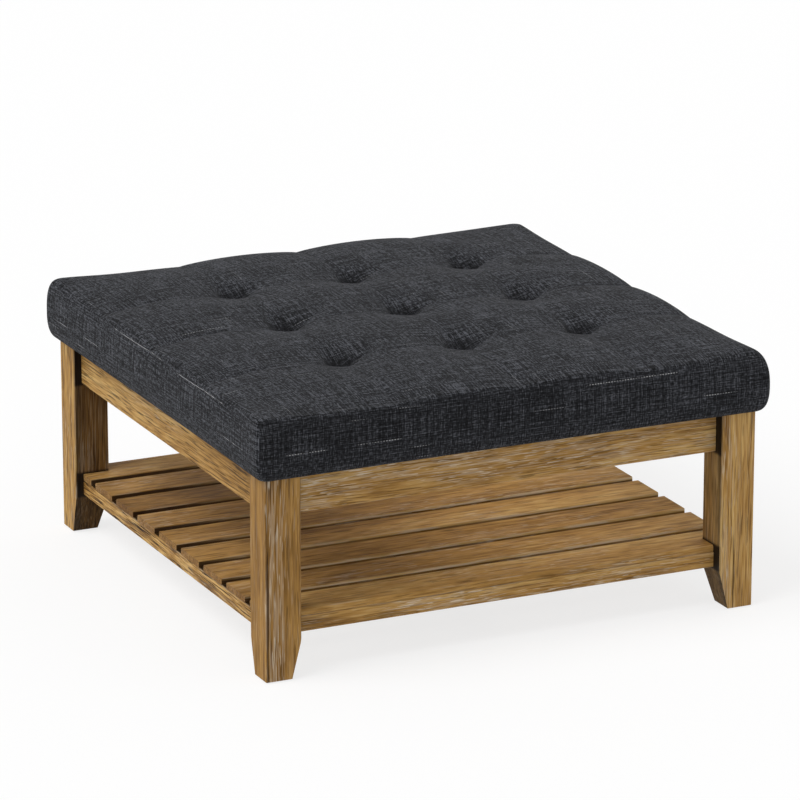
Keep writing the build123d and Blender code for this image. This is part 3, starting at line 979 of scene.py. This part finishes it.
def settle():
    """The lines of an even grid and how far the cloth moved at each crossing."""
    reach = half - rim_roll
    lines = np.linspace(-reach, reach, round(2 * reach / settle_step) + 1)
    x, y = np.meshgrid(lines, lines)
    start = np.stack([x, y, top_height(x, y)], -1).reshape(-1, 3)
    moved = np.zeros_like(start)
    sheet = new_piece("top_cloth", start, grid_quads(len(lines), len(lines)))
    near = np.min([np.hypot(x - a, y - b) for a, b in tufts], 0).ravel()
    at_rim = np.maximum(np.abs(x), np.abs(y)).ravel() > reach - settle_step / 2
    held = sheet.vertex_groups.new(name="held")
    held.add([int(i) for i in np.flatnonzero((near < held_radius) | at_rim)], 1, "REPLACE")
    cloth = sheet.modifiers.new("settle", "CLOTH")
    settings = cloth.settings
    settings.vertex_group_mass = "held"
    settings.quality = 5
    settings.bending_stiffness = 0.2
    settings.use_pressure = True
    settings.uniform_pressure_force = settle_pressure
    settings.shrink_min = -cloth_growth
    settings.effector_weights.gravity = 0
    cloth.collision_settings.use_collision = False
    scene = bpy.context.scene
    for frame_number in range(1, settle_frames + 1):
        scene.frame_set(frame_number)
    settled = sheet.evaluated_get(bpy.context.evaluated_depsgraph_get())
    end = np.empty(len(settled.data.vertices) * 3)
    settled.data.vertices.foreach_get("co", end)
    moved = end.reshape(-1, 3) - start
    length = np.linalg.norm(moved, axis=1)
    print("the cloth moved", round(length.mean() / MM, 2), "mm, and at most", round(length.max() / MM, 2))
    moved *= np.minimum(1, settle_cap / np.maximum(length, 1e-9))[:, None]
    scene.frame_set(1)
    bpy.data.objects.remove(sheet)
    return lines, moved.reshape(len(lines), len(lines), 3)


settle_lines, settle_moves = settle()


def settled(x, y):
    """The settled cloth's move at any place on the top, between the grid's crossings."""
    last = len(settle_lines) - 1
    step = settle_lines[1] - settle_lines[0]
    across = np.clip((x - settle_lines[0]) / step, 0, last - 1e-6)
    deep = np.clip((y - settle_lines[0]) / step, 0, last - 1e-6)
    column, row = across.astype(int), deep.astype(int)
    right, back = (across - column)[..., None], (deep - row)[..., None]
    front = settle_moves[row, column] * (1 - right) + settle_moves[row, column + 1] * right
    behind = settle_moves[row + 1, column] * (1 - right) + settle_moves[row + 1, column + 1] * right
    return front * (1 - back) + behind * back


# %% [markdown]
# ## From grid to cover
#
# The top is a grid of quads. Its outer edge is carried on as rings that roll over the rim, run down the
# side, roll in under the board and end in a fold, so the whole cover is one skin. In section a side is
# two quarters of a superellipse, a curve between an ellipse and a box: the higher its power, the
# squarer the roll. The rim is crisp at the front left corner and softer towards the right, as the cloth
# was pulled. `plan` bends a square ring into one with round corners and drawn-in sides.


# %% The cover's skin
def rim_width(u):
    return rim_roll + right_roll * soft_step(u, 0.7, 1)


def plan(u, v, reach):
    """Where a point of a square of half-width `reach`, at shares u and v, lies on the cover."""
    straight = reach - corner_radius

    def place(share, other):
        at = share * reach
        out, beside = (np.maximum(np.abs(part * reach) - straight, 0) for part in (share, other))
        rounded = straight + out * np.sqrt(1 - (beside / corner_radius) ** 2 / 2)
        at = np.where((out > 0) & (beside > 0), np.sign(at) * rounded, at)
        return at - side_draw * np.sign(share) * np.abs(share) ** 8 * (1 - other * other)

    return place(u, v), place(v, u)


def quarter(power, turn):
    """A superellipse of radius 1 at an angle: how far out and how far up."""
    across, up = math.cos(turn), math.sin(turn)
    reach = (across**power + up**power) ** (-1 / power)
    return reach * across, reach * up


def side_rings(u, v, edge_height):
    """(x, y, height above the bottom) of each ring of points, from the rim down to the fold."""
    front = soft_step(-v, 0.8, 1)
    power = 3 - 0.5 * soft_step(u, 0.7, 1) + 2.6 * front * soft_step(-u, -0.9, 0.6)
    for step in range(rim_steps - 1, 0, -1):
        out, up = quarter(power, math.pi / 2 * step / rim_steps)
        height = belly_height + (edge_height - belly_height) * up
        yield *plan(u, v, half - rim_width(u) * (1 - out)), height
    for step in range(hem_steps):
        out, up = quarter(hem_power, math.pi / 2 * step / hem_steps)
        yield *plan(u, v, half - hem_roll * (1 - out)), belly_height * (1 - up) + 0 * u
    for inset in spaced([(hem_roll, 14 * MM), (fold_width, 0)]):
        yield *plan(u, v, half - inset), 0 * u


def cover_skin():
    """Points and quads of the cover, with the top grid first and the rings after it."""
    u, v = np.meshgrid(lines_x / top_half, lines_y / top_half)
    x, y = plan(u, v, half - rim_width(u))
    top = np.stack([x, y, top_height(x, y)], -1) + settled(x, y)
    points = [top.reshape(-1, 3)]
    wide, count = len(lines_x), u.size
    quads = grid_quads(wide, len(lines_y))
    ring = [*range(wide - 1), *range(wide - 1, count - 1, wide)]  # counter-clockwise from the front left
    ring += [*range(count - 1, count - wide, -1), *range(count - wide, 0, -wide)]
    ring_u, ring_v = u.ravel()[ring], v.ravel()[ring]
    edge_height = top_height(*plan(ring_u, ring_v, half - rim_width(ring_u))) - bottom
    for x, y, height in side_rings(ring_u, ring_v, edge_height):
        points.append(np.stack([x, y, bottom + height], -1))
        below = list(range(count, count + len(ring)))
        quads += zip(ring, below, below[1:] + below[:1], ring[1:] + ring[:1])
        ring, count = below, count + len(ring)
    return np.concatenate(points), quads


skin_points, skin_quads = cover_skin()
cover = new_piece("linen_cover", skin_points, skin_quads)
print("skin:", len(skin_points), "points,", len(skin_quads), "quads")

# %% Smooth it with one subdivision
subdivision = cover.modifiers.new("smooth", "SUBSURF")
subdivision.levels = subdivision.render_levels = 1


def apply_modifiers(piece):
    graph = bpy.context.evaluated_depsgraph_get()
    mesh = bpy.data.meshes.new_from_object(piece.evaluated_get(graph))
    piece.modifiers.clear()
    piece.data = mesh


apply_modifiers(cover)
print("cover:", len(cover.data.polygons), "quads")

# %% [markdown]
# A skin with an open edge isn't a thing, so we turn its edge in: up by the cover's thickness, out again
# to the board, up the board's and the foam's sides and over the foam. The cover is then a closed form
# with a pocket, which the board and the foam fill.

# %% Close the pocket
cover_fold = 1.4 * MM
pocket_gap = 0.3 * MM
board_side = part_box("seat_board")[1].x + pocket_gap
foam_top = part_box("foam_block")[1].z + pocket_gap


def turn_in(piece, stops):
    """Carry the open edge through square rings [(half-width, height), ...] and close the last."""
    shell = bmesh.new()
    shell.from_mesh(piece.data)
    ring = [v for v in shell.verts if v.is_boundary]
    ring.sort(key=lambda v: math.atan2(v.co.y, v.co.x))
    for reach, height in stops:
        share = reach / max(max(abs(v.co.x), abs(v.co.y)) for v in ring)
        turned = [shell.verts.new((v.co.x * share, v.co.y * share, height)) for v in ring]
        for corner in range(len(ring)):
            shell.faces.new((ring[corner - 1], ring[corner], turned[corner], turned[corner - 1]))
        ring = turned
    shell.faces.new(ring)
    bmesh.ops.recalc_face_normals(shell, faces=shell.faces)
    shell.to_mesh(piece.data)
    shell.free()


fold_half = half - fold_width
turn_in(
    cover,
    [(fold_half, bottom + cover_fold), (board_side, bottom + cover_fold), (board_side, foam_top)],
)
cover.data.shade_smooth()
print("cover with its pocket:", len(cover.data.polygons), "faces")

# %% [markdown]
# The threads run left to right and front to back over the top, and down each side. We store that as a
# vector on each face corner, chosen by the side that the face looks to, so no thread is smeared round
# a corner of the cushion.


# %% Thread directions
def read(collection, name, width, kind=float):
    """One property of every element, as rows of an array."""
    values = np.empty(len(collection) * width, kind)
    collection.foreach_get(name, values)
    return values.reshape(-1, width)


def store_cloth(mesh):
    fold = 2 * half - rim_roll / 2
    normals = read(mesh.polygons, "normal", 3)
    corners = read(mesh.polygons, "loop_total", 1, int)[:, 0]
    axis = np.abs(normals).argmax(1)
    side = np.repeat(axis, corners)
    sign = np.repeat(np.sign(normals[np.arange(len(axis)), axis]), corners)
    places = read(mesh.vertices, "co", 3)[read(mesh.loops, "vertex_index", 1, int)[:, 0]]
    x, y, z = places.T
    spread = np.zeros_like(places)
    spread[:, 0] = np.where(side == X, sign * (fold - z), x)
    spread[:, 1] = np.where(side == Y, sign * (fold - z), y)
    cloth = mesh.attributes.new("cloth", "FLOAT_VECTOR", "CORNER")
    cloth.data.foreach_set("vector", spread.ravel())
    # how deep the tufts' pits are there, for their painted shade
    hollow = mesh.attributes.new("hollow", "FLOAT", "CORNER")
    hollow.data.foreach_set("value", np.where(z > bottom + belly_height, pits(x, y) / tuft_depth, 0))


store_cloth(cover.data)
wear(cover, linen_finish)
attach(cover, "root")
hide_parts("cushion_cover")

# %% [markdown]
# ## Foam and dust cover
#
# The foam is a block sawn from a bun, so its edges are a little soft and its faces have open cells. The
# dust cover is a square of pale calico, stretched over the frame's top before the seat is set on it. It
# hangs a few millimetres down in the two bays between the batten and the sides, where nothing holds it.


# %% The foam pad
def rounded_slab(name, reach, corner, low, high, ease):
    """A slab with round corners and eased edges."""
    straight, corner_steps = reach - corner, 6
    ring = []
    for turn, (side_x, side_y) in enumerate(((1, 1), (-1, 1), (-1, -1), (1, -1))):
        for step in range(corner_steps + 1):
            angle = math.pi / 2 * (turn + step / corner_steps)
            x, y = corner * math.cos(angle), corner * math.sin(angle)
            ring.append((straight * side_x + x, straight * side_y + y))
    levels = [(-ease, low), (-0.3 * ease, low + 0.3 * ease), (0, low + ease)]
    levels += [(0, high - ease), (-0.3 * ease, high - 0.3 * ease), (-ease, high)]
    points = []
    for grow, height in levels:
        share = (reach + grow) / reach
        points += [(x * share, y * share, height) for x, y in ring]
    size = len(ring)
    faces = ring_walls(0, size, len(levels))
    faces.append(tuple(reversed(range(size))))
    faces.append(tuple(range(len(points) - size, len(points))))
    return new_piece(name, points, faces)


def foam():
    finish = Finish("foam")
    place = finish.place()
    cells = finish.node("ShaderNodeTexVoronoi", None, {"Vector": place, "Scale": 700})
    tint = finish.noise(place, (12, 12, 12), 2, 6)
    colour = finish.mix(tint.between(0.3, 0.7), paint(226, 208, 150), paint(214, 190, 124))
    return finish.close(
        Base_Color=finish.mix(cells.between(0.35, 0.05) * 0.35, colour, paint(150, 124, 70)),
        Roughness=0.85 + cells * 0.1,
        Normal=finish.bump(cells, 0.6 * MM),
        Specular_IOR_Level=0.2,
    )


foam_corner, foam_ease = 16 * MM, 4 * MM
foam_low, foam_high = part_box("foam_block")
pad = rounded_slab("foam_pad", foam_high.x, foam_corner, foam_low.z, foam_high.z, foam_ease)
wear(pad, foam())
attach(pad, "root")
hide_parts("foam_block")
print("foam pad", round((foam_high.z - foam_low.z) / MM), "mm thick")

# %% The dust cover
sheet_low, sheet_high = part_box("dust_cover")
brace_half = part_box("seat_brace")[1].x
bay_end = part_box("apron_right")[0].x
bay_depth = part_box("apron_back")[0].y
bay_sag = 3.5 * MM


def dust_height(x, y):
    bay = np.clip((np.abs(x) - brace_half) / (bay_end - brace_half), 0, 1)
    depth = np.clip(np.abs(y) / bay_depth, 0, 1)
    sag = bay_sag * 16 * bay**2 * (1 - bay) ** 2 * (1 - depth**2)
    return sheet_low.z + (sheet_high.z - sheet_low.z) / 2 - sag


def calico():
    finish = Finish("dust_cloth")
    place = finish.place()
    weave = finish.noise(place, (60, 900, 60), 2, 1) + finish.noise(place, (900, 60, 60), 2, 2)
    creams = (170, 160, 140), (206, 198, 180)
    return two_toned(
        finish, weave, (0.7, 1.3), *creams, 0.9, 0.05, 0.075 * MM, Specular_IOR_Level=0.15
    )


sheet_lines = np.linspace(-sheet_high.x, sheet_high.x, 61)
sheet_x, sheet_y = np.meshgrid(sheet_lines, sheet_lines)
sheet_points = np.stack([sheet_x, sheet_y, dust_height(sheet_x, sheet_y)], -1).reshape(-1, 3)
sheet_quads = turned_over(grid_quads(len(sheet_lines), len(sheet_lines)))
dust_sheet = new_piece("dust_sheet", sheet_points, sheet_quads)
dust_sheet.data.shade_smooth()
wear(dust_sheet, calico())
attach(dust_sheet, "root")
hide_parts("dust_cover")

# %% [markdown]
# ## Floor, light and camera
#
# A pale floor with soft light from the upper left, as in a furniture catalogue. Three things decide how
# the frame reads. A bright floor throws light up under the shelf and the seat. A sky that is brighter
# near the horizon stands for the studio's lit walls, and is what reaches in between the legs. One broad
# lamp makes the left side lighter than the front. To the camera the floor is darker but glows, so that
# it comes out white and still shows the shadow, and from below it is clear, so that one can look at the
# table's underside. The lamps stay at a level where a colour comes out as written. Under the seat, a weak
# lamp panel that no camera sees lifts the shelf's gloom, as the photographer's reflector did.

# %% The stage
floor_half = 30
floor_bounce, floor_seen, floor_glow = 0.78, 0.27, 0.76
white = (1, 1, 1, 1)
corners = [(x * floor_half, y * floor_half, 0) for x, y in ((-1, -1), (1, -1), (1, 1), (-1, 1))]
floor = new_piece("floor", corners, [(0, 1, 2, 3)])


def seen_directly(finish):
    """1 for what the camera sees itself, in a mirror or through glass."""
    rays = finish.node("ShaderNodeLightPath").socket.node.outputs
    kinds = [Value(finish, rays[f"Is {kind} Ray"]) for kind in ("Camera", "Glossy", "Transmission")]
    return kinds[0].math("MAXIMUM", kinds[1]).math("MAXIMUM", kinds[2])


pale = Finish("pale_floor")
bounce = pale.node("ShaderNodeBsdfDiffuse", None, {"Color": (*[floor_bounce] * 3, 1)})
matt = pale.node("ShaderNodeBsdfDiffuse", None, {"Color": (*[floor_seen] * 3, 1)})
glow = pale.node("ShaderNodeEmission", None, {"Color": white, "Strength": floor_glow})
lit = pale.node("ShaderNodeAddShader", None, {0: matt, 1: glow})
solid = pale.node("ShaderNodeMixShader", None, {0: seen_directly(pale), 1: bounce, 2: lit})
clear = pale.node("ShaderNodeBsdfTransparent")
from_below = pale.node("ShaderNodeNewGeometry", output="Backfacing")
pale.finish_with(pale.node("ShaderNodeMixShader", None, {0: from_below, 1: solid, 2: clear}))
wear(floor, pale.material)
floor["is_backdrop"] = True
print("floor", 2 * floor_half, "m wide")

# %% The studio's walls
zenith_light, horizon_light = 0.45, 0.8
wall_top, wall_foot = 0.42, 0.1  # as the sine of the angle above the horizon

world = bpy.data.worlds.new("studio")
bpy.context.scene.world = world
sky = Finish("studio", world)
up = sky.split(sky.node("ShaderNodeTexCoord", output="Generated"))[2]
walls = up.between(wall_top, wall_foot)
strength = walls * (horizon_light - zenith_light) + zenith_light
room = sky.node("ShaderNodeBackground", None, {"Color": white, "Strength": strength})
backdrop = sky.node("ShaderNodeBackground", None, {"Color": white, "Strength": 1})
sky.finish_with(sky.node("ShaderNodeMixShader", None, {0: seen_directly(sky), 1: room, 2: backdrop}))
print("walls at", horizon_light, "and sky at", zenith_light)

# %% The lamps
window_side = (-0.62, -0.05, 0.85)
window_strength, window_spread = 1.55, 40
lamp = bpy.data.lights.new("window", "SUN")
lamp.energy = window_strength
lamp.angle = math.radians(window_spread)
put_in_scene("window", lamp).rotation_euler = Vector(window_side).to_track_quat("Z", "Y").to_euler()

shelf_lamp_power = 0.9
shelf_lamp_width, shelf_lamp_depth = 480 * MM, 840 * MM
shelf_lamp_gap = 6 * MM  # from the batten above it
shelf_lamp_place = (190 * MM, 0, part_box("seat_brace")[0].z - shelf_lamp_gap)

panel = bpy.data.lights.new("shelf_fill", "AREA")
panel.shape = "RECTANGLE"
panel.size, panel.size_y = shelf_lamp_width, shelf_lamp_depth
panel.energy = shelf_lamp_power
shelf_fill = put_in_scene("shelf_fill", panel)
shelf_fill.location = shelf_lamp_place
shelf_fill.visible_camera = shelf_fill.visible_glossy = False
print("lamps:", lamp.name, "and", panel.name)

# %% The camera
camera_place = (-3.5858, -7.6542, 2.9192)
camera_turn, camera_tilt = 0.4382, 0.29975
focal_length, sensor_width = 225.2, 36  # in mm, as on the camera
farthest = 100
lens = bpy.data.cameras.new("catalogue")
lens.lens = focal_length
lens.sensor_width = sensor_width
lens.clip_end = farthest
camera = put_in_scene("catalogue", lens)
camera.location = camera_place
camera.rotation_euler = (math.pi / 2 - camera_tilt, 0, -camera_turn)
bpy.context.scene.camera = camera
bpy.context.scene.view_settings.view_transform = "Standard"
print("camera:", focal_length, "mm lens,", round(Vector(camera_place).length, 1), "m away")

# %% Print the visual box
low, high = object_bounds()
print("visual box in mm:", [round(1000 * v, 1) for v in (*low, *high)])
